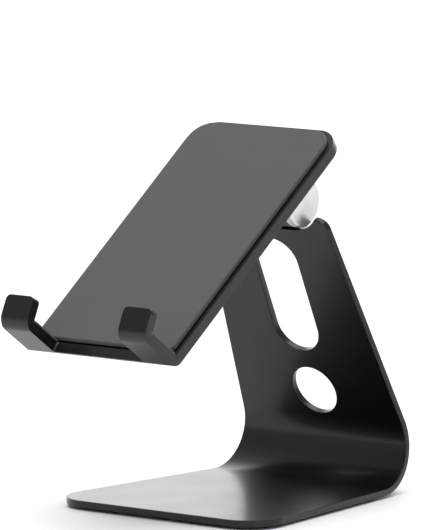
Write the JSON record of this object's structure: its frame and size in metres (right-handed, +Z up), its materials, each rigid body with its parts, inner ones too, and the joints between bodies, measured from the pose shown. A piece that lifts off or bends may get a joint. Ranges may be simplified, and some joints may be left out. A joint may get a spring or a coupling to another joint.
{
  "type": "tilting phone stand",
  "caption": "Desk stand that holds a phone on a padded cradle with two hooks, tilting on a friction hinge above a bent sheet-metal foot.",
  "frame": {"origin": "middle of the foot pad's underside, where the stand rests on the desk", "axes": "+X across the stand to the right of a person facing the screen, +Y from the foot's front edge to the back, +Z up"},
  "size_m": [0.0738, 0.1136, 0.1052],
  "materials": {
    "black_anodised": "fine bead-blasted satin, black anodised",
    "turned_aluminium": "bright turned face",
    "black_zinc": "satin black",
    "black_screw": "black oxide",
    "steel": "turned",
    "bush_polymer": "matte",
    "grey_silicone": "matte"
  },
  "bodies": {
    "base": {"base_frame": "black_anodised", "foot_pad": "grey_silicone", "hinge_leaf": "black_zinc", "leaf_screws": "black_screw", "hinge_bush_left": "bush_polymer", "hinge_bush_right": "bush_polymer"},
    "cradle": {"cradle_bracket": "black_zinc", "cradle_plate": "black_anodised", "cradle_screws": "black_screw", "back_pad": "grey_silicone", "shelf_pad_left": "grey_silicone", "shelf_pad_right": "grey_silicone", "hinge_shaft": "steel", "thrust_washer": "steel", "spring_washers": "steel", "hinge_nut": "steel", "end_cap_left": "turned_aluminium", "end_cap_right": "turned_aluminium"}
  },
  "joints": [
    {"name": "cradle_tilt", "type": "hinge", "parent": "base", "child": "cradle", "pos_m": [0, 0.0098, 0.08518], "axis": [1, 0, 0], "range_deg": [-35.9, 48.1]}
  ]
}
